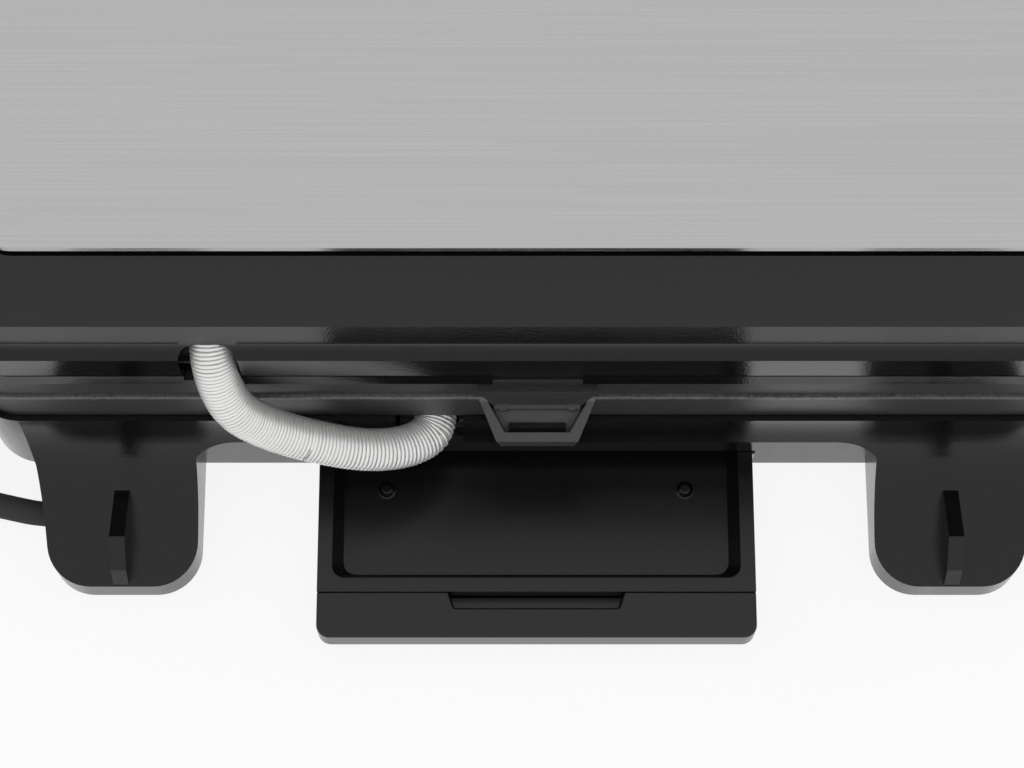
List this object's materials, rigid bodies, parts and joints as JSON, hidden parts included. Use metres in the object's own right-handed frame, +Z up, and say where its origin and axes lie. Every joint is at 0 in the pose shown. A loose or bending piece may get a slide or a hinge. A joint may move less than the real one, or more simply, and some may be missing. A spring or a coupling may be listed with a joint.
{
  "type": "electric contact grill",
  "caption": "Electric contact grill with two ribbed plates, a floating hinged lid, a front handle and a drip tray that slides out between two flared rear legs.",
  "frame": {"origin": "middle of the footprint at floor level", "axes": "+Z up, +Y towards the back where the drip tray slides out, +X towards the cord side, handle at -Y"},
  "size_m": [0.5484, 0.3512, 0.1518],
  "materials": {
    "black_plastic": "satin black moulding with a fine grain",
    "dark_sheet": "dark painted sheet",
    "zinc_screws": "zinc plated",
    "foot_rubber": "matt rubber",
    "coated_casting": "cast, non-stick coating, slightly rough",
    "element_steel": "heat-darkened steel sheath",
    "reflector_sheet": "plain sheet",
    "hinge_metal": "black powder coat",
    "panel_plastic": "fine grain",
    "green_lens": "clear green lens",
    "red_lens": "clear red lens",
    "light_plastic": "off-white moulding",
    "lead_sleeve": "heat-proof sleeve",
    "conduit_steel": "bright close-wound wire",
    "cord_rubber": "matt black sheath",
    "pin_metal": "bright pins",
    "cover_steel": "brushed along the width",
    "grip_plastic": "smooth satin black",
    "tray_plastic": "black, semi-gloss"
  },
  "bodies": {
    "base": {"lower_housing": "black_plastic", "bottom_cover": "dark_sheet", "bottom_cover_screws": "zinc_screws", "rubber_feet": "foot_rubber", "tray_bay": "dark_sheet", "lower_grill_plate": "coated_casting", "lower_heating_element": "element_steel", "lower_reflector": "reflector_sheet", "lower_plate_screws": "zinc_screws", "hinge_tower_left": "hinge_metal", "hinge_tower_right": "hinge_metal", "hinge_tower_screws": "zinc_screws", "control_panel": "panel_plastic", "ready_lamp": "green_lens", "power_lamp": "red_lens", "thermostat": "dark_sheet", "terminal_block": "light_plastic", "mains_lead": "lead_sleeve", "conduit_lead": "lead_sleeve", "thermostat_lead": "lead_sleeve", "conduit_lower_half": "conduit_steel", "conduit_clamp": "panel_plastic", "cord_strain_relief": "cord_rubber", "cord_gland": "panel_plastic", "mains_cord": "cord_rubber", "cord_coil": "cord_rubber", "mains_cord_tail": "cord_rubber", "mains_plug": "cord_rubber", "plug_pins": "pin_metal"},
    "hinge_carriage": {"hinge_slide_left": "panel_plastic", "hinge_slide_right": "panel_plastic", "hinge_pin_left": "pin_metal", "hinge_pin_right": "pin_metal"},
    "lid": {"upper_housing": "black_plastic", "lid_cover": "cover_steel", "upper_grill_plate": "coated_casting", "upper_heating_element": "element_steel", "upper_reflector": "reflector_sheet", "upper_plate_screws": "zinc_screws", "thermal_cutout": "element_steel", "handle_grip": "grip_plastic", "handle_bracket_left": "hinge_metal", "handle_bracket_right": "hinge_metal", "handle_screws": "zinc_screws", "hinge_arm_left": "hinge_metal", "hinge_arm_right": "hinge_metal", "hinge_arm_screws": "zinc_screws", "head_lead": "lead_sleeve", "conduit_upper_half": "conduit_steel", "conduit_grommet": "panel_plastic"},
    "tray": {"drip_tray": "tray_plastic", "drip_tray_front": "tray_plastic"},
    "knob": {"thermostat_knob": "grip_plastic", "thermostat_spindle": "pin_metal"}
  },
  "joints": [
    {"name": "lid_float", "type": "slide", "parent": "base", "child": "hinge_carriage", "axis": [0, 0, 1], "range_m": [0, 0.018], "deforming": ["conduit_lower_half"]},
    {"name": "lid_hinge", "type": "hinge", "parent": "hinge_carriage", "child": "lid", "pos_m": [0, 0.1205, 0.0675], "axis": [-1, 0, 0], "range_deg": [0, 100], "deforming": ["conduit_upper_half"]},
    {"name": "drip_tray_slide", "type": "slide", "parent": "base", "child": "tray", "axis": [0, 1, 0], "range_m": [-0.0166, 0.085]},
    {"name": "thermostat_turn", "type": "hinge", "parent": "base", "child": "knob", "pos_m": [0, -0.1346, 0.0265], "axis": [0, -1, 0], "range_deg": [0, 270]}
  ]
}
